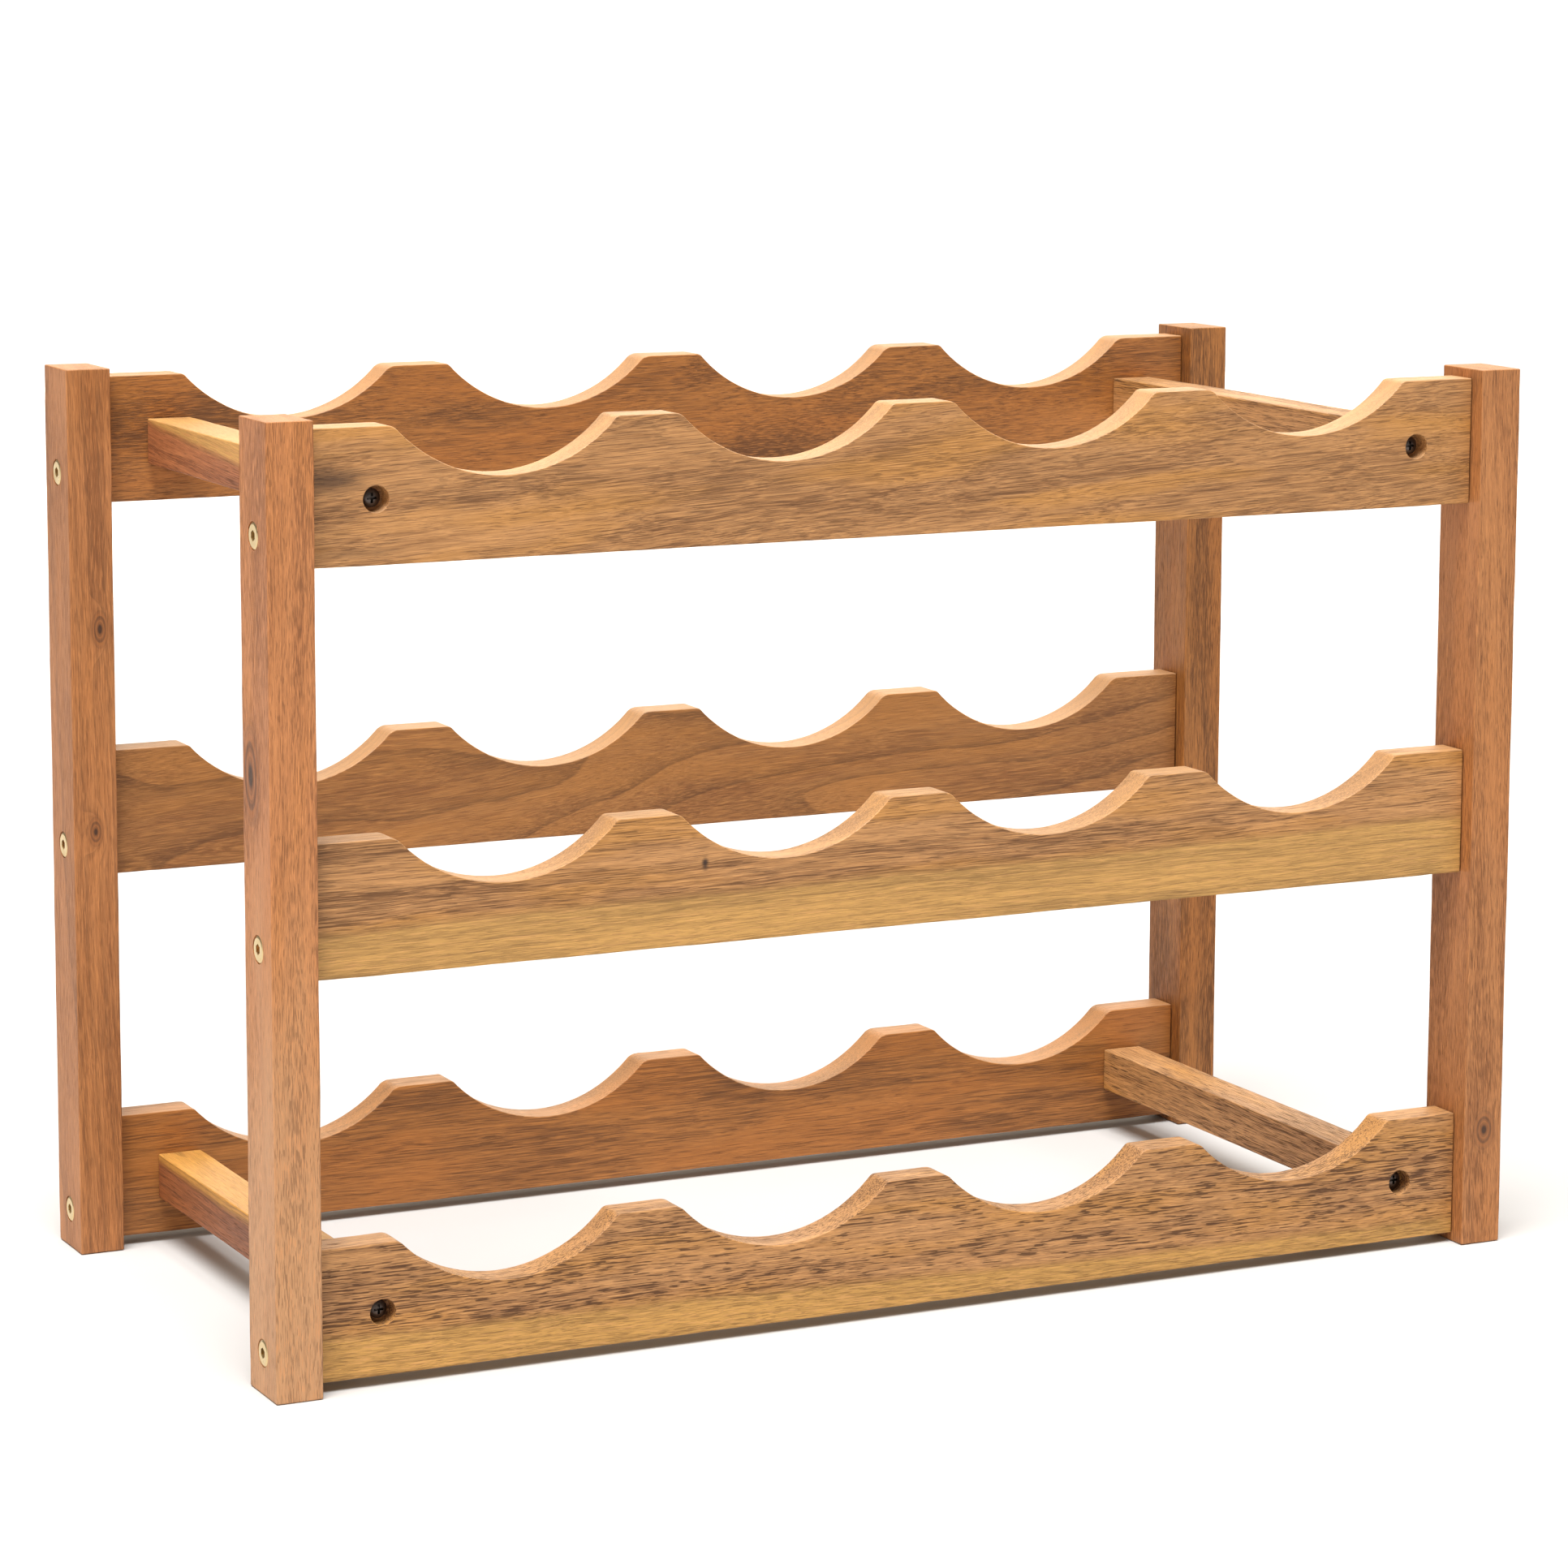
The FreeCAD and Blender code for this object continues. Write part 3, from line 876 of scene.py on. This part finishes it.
def knotted(tree, colour, reach, patches, dark):
    """Lay a knot's rings over the wood, and its core over the rings."""
    ragged = add(tree, "Math", (patches, KNOT_RAGGED, reach), operation="MULTIPLY_ADD")
    outwards = add(tree, "Math", (ragged, KNOT_RINGS), operation="MULTIPLY")
    inputs = {"W": outwards, "Detail": 1.0, "Scale": 1.0}
    noise = add(tree, "TexNoise", inputs, noise_dimensions="1D")
    ring = add(tree, "MapRange", (noise, RING_FROM, RING_TO), **SMOOTHLY)
    ring_colour = add(tree, "Mix", (ring, linear(dark), linear(KNOT_COLOUR)), **MIX_COLOURS)
    halo = add(tree, "MapRange", (ragged, HALO_FROM, HALO_TO, HALO_DEPTH, 0.0), **SMOOTHLY)
    colour = add(tree, "Mix", (halo, colour, ring_colour), **MIX_COLOURS)
    core = add(tree, "MapRange", (ragged, CORE_FROM, CORE_TO, CORE_DEPTH, 0.0), **SMOOTHLY)
    return add(tree, "Mix", (core, colour, linear(CORE_COLOUR)), **MIX_COLOURS)


print("a knot's halo reaches", HALO_TO, "times its half size")

# %% [markdown]
# ## Painted light on the tops, and the oil
# Surfaces that face up are made paler: painted light from above, put into their colour. The
# normal in object coordinates tells them, and it doesn't change when the camera moves. Oil
# leaves wood satin: smooth on the ridges, rough in the pores, which stay open and a little sunk.

# %% Paint light on the tops and oil the wood
# The colour that painted light from above gives the tops.
TOP_LIGHT_COLOUR = "DCB082"
UP_FROM, UP_TO = 0.25, 0.75
SATIN, OPEN_PORE = 0.52, 0.80
OIL_IOR = 1.5
PORE_SUNK, STREAK_RAISED = -1.0, 0.8
GRAIN_RELIEF = 0.2 * MM
GRAIN_STRENGTH = 0.5


def painted_top_light(tree, colour, top_light):
    """Paint light from above on the surfaces that face up, as a paler colour."""
    normal = add(tree, "TexCoord", output="Normal")
    upward = add(tree, "SeparateXYZ", (normal,), output="Z")
    top_lit = add(tree, "MapRange", (upward, UP_FROM, UP_TO, 0.0, top_light), **SMOOTHLY)
    return add(tree, "Mix", (top_lit, colour, linear(TOP_LIGHT_COLOUR)), **MIX_COLOURS)


def oil(tree, colour, pore, streaks):
    """Satin oil over the finished colour."""
    roughness = add(tree, "MapRange", {"Value": pore, "To Min": SATIN, "To Max": OPEN_PORE})
    raised = add(tree, "Math", (streaks, STREAK_RAISED), operation="MULTIPLY")
    relief = add(tree, "Math", (pore, PORE_SUNK, raised), operation="MULTIPLY_ADD")
    inputs = {"Height": relief, "Strength": GRAIN_STRENGTH, "Distance": GRAIN_RELIEF}
    bump = add(tree, "Bump", inputs)
    inputs = {"Base Color": colour, "Roughness": roughness, "Normal": bump, "IOR": OIL_IOR}
    surface = add(tree, "BsdfPrincipled", inputs)
    add(tree, "OutputMaterial", {"Surface": surface})


print("oiled wood has a roughness of", SATIN, "to", OPEN_PORE)

# %% [markdown]
# ## How the saw met the log
# A turn says how the log lay in the rack. A board that was sawn squarely has straight bands,
# and a few degrees more make arches and bands that run out at an edge.

# %% Turns of the log


def degrees(x, y, z):
    """A turn given in degrees."""
    return tuple(math.radians(angle) for angle in (x, y, z))


ALONG_X = degrees(0, 0, 0)
TILTED_X = degrees(0, 3.2, -2)
LEANING_X = degrees(0, 1.5, 3)
NEARLY_X = degrees(0, 0.6, -0.3)
SAGGING_X = degrees(0, -0.6, 1)
ALONG_Y = degrees(0, 0, -90)
TILTED_Y = degrees(-4, 0, -90)
ALONG_Z = degrees(0, 90, 0)
TILTED_Z = degrees(0, 91.5, 0)
print("a tilted rail's log turns by", round(math.degrees(TILTED_X[1]), 1), "degrees")

# %% [markdown]
# ## One board's acacia
# All the layers together make the material of one board. A Mapping node turns the rack's
# coordinates into the log's, so every board comes from its own part of its own tree. The
# order of the layers is the wood's own: tone first, then years and pores, then marks; then
# comes the painted light on the tops, and last the oil.

# %% Put the layers together


def acacia(name, turn, move, light, dark, gold, corner=Vector(), sap=None, sap_from=0.0,
           waver=1.6, pores=1.0, pore_size=(9.0, 0.30), contrast=1.0, rings=0.12,
           ring_width=5.0, top_light=0.42, foot=None, smudges=(), knots=()):
    """Oiled acacia for one board, with every length in millimetres. turn and move place the
    log. light and dark are the heartwood's two tones, and gold the tone it drifts to. sap is
    the sapwood's colour and sap_from its distance from the pith. waver is how far the fibres
    wander. pores is how dark the pores are, and pore_size their length and width. contrast
    draws the two tones apart. rings is how dark the late wood of a year is, and ring_width
    how wide a year. The setting for the tops is how much painted light from above makes them
    paler. foot is the colour that a post fades to. Smudges and knots are placed from the
    board's low corner, each with a half size each way, and a smudge with a depth of colour."""
    material, tree = new_material(name)
    rack_place = add(tree, "TexCoord", output="Object")
    inputs = {"Vector": rack_place, "Rotation": turn, "Location": Vector(move) * MM}
    log = add(tree, "Mapping", inputs)

    def reach_of(spot, half_size):
        """Distance from a spot on this board, counted in half sizes."""
        return near_place(tree, rack_place, corner + Vector(spot) * MM, Vector(half_size) * MM)

    bent = bend_fibres(tree, log, waver * MM)
    knot_reaches = [reach_of(spot, half_size) for spot, half_size in knots]
    radius = from_pith(tree, bent, knot_reaches)
    bands = growth_bands(tree, log, radius)
    patches = stretched(tree, bent, PATCH, detail=3.0)
    streaks = stretched(tree, bent, STREAK, detail=4.0, roughness=0.7)
    size = [side * MM for side in pore_size]
    pore, hair, fleck = open_grain(tree, bent, bands, patches, size, pores)

    tone = wood_tone(tree, bands, streaks, patches, contrast)
    colour = heartwood(tree, bent, tone, light, dark, gold)
    if foot:
        colour = faded_foot(tree, colour, rack_place, patches, foot)
    if sap:
        colour, pore = sapwood(tree, colour, pore, tone, radius, sap, sap_from * MM, dark)
    colour = years(tree, colour, radius, ring_width * MM, rings)
    colour = colour_grain(tree, colour, light, pore, hair, fleck)
    for spot, half_size, depth in smudges:
        colour = smudged(tree, colour, reach_of(spot, half_size), streaks, depth)
    for reach in knot_reaches:
        colour = knotted(tree, colour, reach, patches, dark)
    # Painted light from above: the surfaces that face up get a paler colour.
    colour = painted_top_light(tree, colour, top_light)
    oil(tree, colour, pore, streaks)
    return material


print("acacia: tones, gold, sapwood, years, grain, marks, pale tops and oil, in that order")

# %% [markdown]
# ## Drilled wood with painted shade, and torn wood
# A hole's wall is end grain that drank the oil, so it is darker, and it is made nearly black
# as painted shade for the dark inside the hole. Torn fibres are bare wood that no oil
# reached, so they are pale. Both are the same acacia in other tones, and every board shares them.

# %% Make the drilled wood with painted shade, and the torn wood
# The drilled walls' tones are nearly black: painted shade inside the holes.
HOLE_SHADE_TONES = dict(light="3A2212", dark="1C1008", gold="2E1A0E")
BARE = dict(light="E6C69C", dark="B88C5E", gold="DAB27E")
hole_wood_painted_shade = acacia("hole_wood_painted_shade", turn=ALONG_Y, move=(4400, 200, 100), **HOLE_SHADE_TONES)
torn_fibres = acacia("torn_fibres", turn=ALONG_X, move=(5400, 200, 100), **BARE)
print("torn fibres take", len(torn_fibres.node_tree.nodes), "nodes")

# %% [markdown]
# ## Choosing each board's palette
# The boards of such a rack come from many trees. The palettes name the kinds of heartwood:
# front rails and the right crossbars are tan, rear rails are brown or pale, most posts are
# russet or umber, and the left crossbars come from redder trees. The bottom rear rail's brown
# is partly its wood and partly painted shade. Most posts show short pores.

# %% Palettes
TAN = dict(light="C4905A", dark="8A5D33", gold="BE8642")
RUSSET = dict(light="C68450", dark="9C6034", gold="BE7A40")
UMBER = dict(light="BC7E4A", dark="90582C", gold="B4743E")
BROWN = dict(light="B27438", dark="784A20", gold="AA6A2E")
PALE = dict(light="B27C44", dark="88562C", gold="AC743A")
ROSY = dict(light="B06E44", dark="824A2A", gold="B4763E")
MAROON = dict(light="9A5E3A", dark="663A20", gold="96582F")

# Short pores, and only a little painted light on the tops.
SHORT_PORES = dict(pore_size=(4.5, 0.28), top_light=0.15)
print("a tan board's light tone is", [round(v, 2) for v in linear(TAN["light"])[:3]])

# %% [markdown]
# ## The posts' logs
# Each board now gets its place in a log, and what is special about it. No two places are
# alike, so no board repeats another. The left posts and the front right one have small
# knots.

# %% Choose the posts' logs
logs = {
    "front_left_post": dict(
        turn=ALONG_Z, move=(300, 145, 50), pores=0.5, contrast=0.6, foot="C2966C",
        **SHORT_PORES, **RUSSET, knots=(((0, 16, 185), (6, 5, 10)),),
    ),
    "front_right_post": dict(
        turn=TILTED_Z, move=(1300, 125, 30), pores=0.55, contrast=0.7,
        **SHORT_PORES, **UMBER, knots=(((8, 0, 38.5), (3, 10, 4.6)),),
    ),
    "rear_left_post": dict(
        turn=TILTED_Z, move=(2300, -45, 60), pores=0.4, pore_size=(6.0, 0.28), top_light=0.15,
        contrast=0.7, rings=0.35, **UMBER,
        knots=(((10, 0, 206), (2, 10, 4.2)), ((7.5, 0, 140), (1.8, 10, 3.4))),
    ),
    "rear_right_post": dict(
        turn=ALONG_Z, move=(3300, -65, 40), pores=0.6, **SHORT_PORES, **BROWN,
    ),
}
print(len(logs), "logs for posts")

# %% [markdown]
# ## The rails' logs
# A rail was sawn some way out from the pith, so its bands run nearly level along it. The
# middle and bottom front rails keep a strip of sapwood along the lower edge. The top front
# rail has a dark smudge at its left end, and the middle one has a small dark speck.

# %% Choose the rails' logs
logs.update({
    "top_front_rail": dict(
        turn=TILTED_X, move=(4300, 30, -320), pores=0.65, pore_size=(15.0, 0.26),
        contrast=0.85, **TAN,
        smudges=(((7, 0, 25.5), (14, 20, 5), 0.75), ((15, 0, 4), (20, 20, 2), 0.35)),
    ),
    "middle_front_rail": dict(
        turn=NEARLY_X, move=(5300, 40, -214), sap="CC9C56", sap_from=91.0, pores=0.75,
        pore_size=(12.0, 0.30), rings=0.28, ring_width=2.4, top_light=0.3, **TAN,
        smudges=(((126.5, 0, 25), (1.4, 4, 2.6), 1.0),),
    ),
    "bottom_front_rail": dict(
        turn=SAGGING_X, move=(6300, 40, -88), sap="CC9A50", sap_from=93.2, contrast=0.9,
        pores=1.1, pore_size=(8.0, 0.42), rings=0.25, ring_width=2.4, top_light=0.1, **TAN,
    ),
    "top_rear_rail": dict(
        turn=LEANING_X, move=(7300, -160, -240), pores=0.6, pore_size=(12.0, 0.28), **BROWN,
    ),
    "middle_rear_rail": dict(
        turn=TILTED_X, move=(8300, -165, -155), waver=6.0, pores=0.35, rings=0.55,
        ring_width=4.5, contrast=0.7, **PALE,
    ),
    # Its brown is partly the wood's own tone and partly painted shade.
    "bottom_rear_rail": dict(
        turn=ALONG_X, move=(9300, -150, -60), pores=0.6, pore_size=(14.0, 0.30), top_light=0.25,
        **BROWN,
    ),
})
print(len(logs), "logs for posts and rails")

# %% [markdown]
# ## The crossbars' logs
# The left crossbars were cut from the outside of their logs, so they are part sapwood. The
# right ones are plain.

# %% Choose the crossbars' logs
logs.update({
    "top_left_crossbar": dict(
        turn=TILTED_Y, move=(400, -179, -205), sap="D4A058", sap_from=59.0, pores=0.5,
        top_light=0.1, **ROSY,
    ),
    "top_right_crossbar": dict(turn=ALONG_Y, move=(1400, 140, -310), top_light=0.1, **TAN),
    "bottom_left_crossbar": dict(
        turn=ALONG_Y, move=(2400, -179, 45), sap="CE9648", sap_from=71.2, pores=0.6,
        rings=0.45, ring_width=3.0, top_light=0.0, **MAROON,
    ),
    "bottom_right_crossbar": dict(turn=ALONG_Y, move=(3400, 160, -70), top_light=0.1, **TAN),
})
print(len(logs), "logs in all")

# %% [markdown]
# ## Giving the boards their wood
# Each board carries its own acacia, the drilled wood with its painted shade and the torn
# fibres, in the order that its faces were marked for.

# %% Give the boards their wood
for node, settings in logs.items():
    piece = boards[node]
    slot = node.split("_")[-1] + "_wood"
    piece.data.materials.clear()
    own_wood = acacia(node + "_acacia", corner=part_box(node)[0], **settings)
    for material in (own_wood, hole_wood_painted_shade, torn_fibres):
        piece.data.materials.append(material)
print(len(logs), "boards of acacia")

# %% [markdown]
# ## Metals and beech
# The connector screws are steel with a brass plate, and the crossbar screws are phosphated
# nearly black. Both are tumbled in a drum, so the heads are satin with a fine grain and
# uneven gloss. The grain is drawn 0.4 mm wide, several times too coarse, so that it shows.
# The dowels are beech, which is pale and even, so a pale acacia with few pores will do.

# %% Finish the screws and dowels
TUMBLED_GRAIN = 0.4 * MM
SMUDGE_SIZE = 3 * MM
GRAIN_DEPTH = 0.05 * MM
SMOOTHER, ROUGHER = 0.08, 0.12
GLOSS_FROM, GLOSS_TO = 0.3, 0.7
GRAIN_BUMP = 0.2
BEECH = dict(light="E0BF92", dark="C9A070", gold="D8B484")


def plated(name, colour, roughness):
    """Plated metal with a fine tumbled grain and a little smudging."""
    material, tree = new_material(name)
    place = add(tree, "TexCoord", output="Object")
    inputs = {"Vector": place, "Scale": 1 / SMUDGE_SIZE, "Detail": 3.0}
    smudge = add(tree, "TexNoise", inputs)
    wear = (smudge, GLOSS_FROM, GLOSS_TO, roughness - SMOOTHER, roughness + ROUGHER)
    worn = add(tree, "MapRange", wear)
    inputs = {"Vector": place, "Scale": 1 / TUMBLED_GRAIN, "Detail": 1.0}
    grain = add(tree, "TexNoise", inputs)
    inputs = {"Height": grain, "Strength": GRAIN_BUMP, "Distance": GRAIN_DEPTH}
    bump = add(tree, "Bump", inputs)
    inputs = {"Base Color": linear(colour), "Metallic": 1.0, "Roughness": worn, "Normal": bump}
    surface = add(tree, "BsdfPrincipled", inputs)
    add(tree, "OutputMaterial", {"Surface": surface})
    return material


finishes = {
    "connector_screws": plated("brass_plate", "DCC493", 0.32),
    "crossbar_screws": plated("black_phosphate_steel", "5E5652", 0.38),
    "dowels": acacia("beech", turn=ALONG_X, move=(700, 50, 30), pores=0.2, **BEECH),
}
for node, cad_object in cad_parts.items():
    for ending, material in finishes.items():
        if node.endswith(ending):
            for slot in cad_object.material_slots:
                slot.material = material
print(len(finishes), "finishes for the fasteners")

# %% [markdown]
# ## Floor
# The rack stands on a wide pale floor, painted matt. It is a flat disc, so large that its edge
# is far away from every side, and it only has to take a soft shadow.

# %% Lay the floor
FLOOR_RADIUS = 40
FLOOR_SIDES = 96
only_nothing()
bpy.ops.mesh.primitive_circle_add(
    vertices=FLOOR_SIDES, radius=FLOOR_RADIUS, fill_type="NGON", location=(0, 0, 0),
)
floor = bpy.context.active_object
floor.name = "floor"
material, tree = new_material("pale_floor")
paint = add(tree, "BsdfPrincipled", {"Base Color": linear("C6C5C3"), "Roughness": 0.9})
add(tree, "OutputMaterial", {"Surface": paint})
floor.data.materials.append(material)
print("floor of", 2 * FLOOR_RADIUS, "m across")

# %% [markdown]
# ## Light
# Most of the light is a wide, soft skylight: a sun lamp with a large angle, from above and a
# little from the front left. A small warm window box at the front left lifts the posts' sides,
# and a larger warm box behind the rack, on the right, brightens the scoops.

# %% Hang the lamps
centre = (cad_low + cad_high) / 2
SKYLIGHT_POWER = 5.8
SKYLIGHT_ANGLE = math.radians(40)
SKYLIGHT_DOWN = Vector((0.17, 0.23, -0.96))
WINDOW_PLACE = Vector((-1.9, -1.2, 1.0))
BACKLIGHT_PLACE = Vector((1.3, 2.6, 1.2))


def lamp_object(name, data, aim):
    """Hang a lamp and turn it to shine along the aim."""
    lamp = bpy.data.objects.new(name, data)
    lamp.rotation_mode = "QUATERNION"
    lamp.rotation_quaternion = aim.to_track_quat("-Z", "Y")
    bpy.context.collection.objects.link(lamp)
    return lamp


def soft_box(name, place, size, power, colour):
    """A square area light at a place, aimed at the middle of the rack."""
    data = bpy.data.lights.new(name, "AREA")
    data.size = size
    data.energy = power
    data.color = linear(colour)[:3]
    lamp = lamp_object(name, data, centre - place)
    lamp.location = place
    lamp.visible_camera = False


soft_box("window", WINDOW_PLACE, size=1.4, power=14, colour="FFE8D2")
soft_box("backlight", BACKLIGHT_PLACE, size=2.2, power=38, colour="FFF0DC")
skylight_data = bpy.data.lights.new("skylight", "SUN")
skylight_data.energy = SKYLIGHT_POWER
skylight_data.angle = SKYLIGHT_ANGLE
lamp_object("skylight", skylight_data, SKYLIGHT_DOWN)
print(len(bpy.data.lights), "lamps")

# %% [markdown]
# ## Surroundings
# The surroundings are seen as white paper, but if they shone as brightly on the wood, every
# shadow would go. So the sky has two strengths, and the Light Path node picks one: the
# bright one for what the camera sees directly, and the dim one for the light on the rack.

# %% Paint the surroundings
SKY_LIGHT = 0.25
SKY_SEEN = 1.25
world = bpy.data.worlds.new("surroundings")
bpy.context.scene.world = world
world.use_nodes = True
sky = world.node_tree.nodes["Background"]
sky.inputs["Color"].default_value = linear("FFF6EC")
seen = add(world.node_tree, "LightPath", output="Is Camera Ray")
strength = add(world.node_tree, "Math", (seen, SKY_SEEN - SKY_LIGHT, SKY_LIGHT),
               operation="MULTIPLY_ADD")
world.node_tree.links.new(strength, sky.inputs["Strength"])
bpy.context.scene.view_settings.view_transform = "Standard"
print("sky of strength", SKY_LIGHT, "on the rack and", SKY_SEEN, "to the camera")

# %% [markdown]
# ## Camera
# A long lens from well away keeps the posts nearly upright. The camera stands at the front
# left, looks slightly down, and leans by a fraction of a degree. A small shift frames the
# rack without tilting it further. An unturned camera looks straight down, so it is first
# raised by a right angle to look level. Lens and sensor are in millimetres, as on a camera.

# %% Set up the camera
CAMERA_PLACE = Vector((-0.6958, -1.4183, 0.4293))
CAMERA_YAW = math.radians(26.15)
CAMERA_PITCH = math.radians(-8.45)
CAMERA_ROLL = math.radians(0.22)
LEVEL = math.radians(90)
LENS = 112.7
SENSOR = 36
SHIFT = -0.08
camera_data = bpy.data.cameras.new("camera")
camera_data.lens = LENS
camera_data.sensor_width = SENSOR
camera_data.shift_y = SHIFT
camera = bpy.data.objects.new("camera", camera_data)
camera.matrix_world = (
    Matrix.Translation(CAMERA_PLACE)
    @ Matrix.Rotation(-CAMERA_YAW, 4, "Z")
    @ Matrix.Rotation(LEVEL + CAMERA_PITCH, 4, "X")
    @ Matrix.Rotation(CAMERA_ROLL, 4, "Z")
)
bpy.context.collection.objects.link(camera)
bpy.context.scene.camera = camera
print("camera is", round((CAMERA_PLACE - centre).length, 2), "m from the rack's middle")
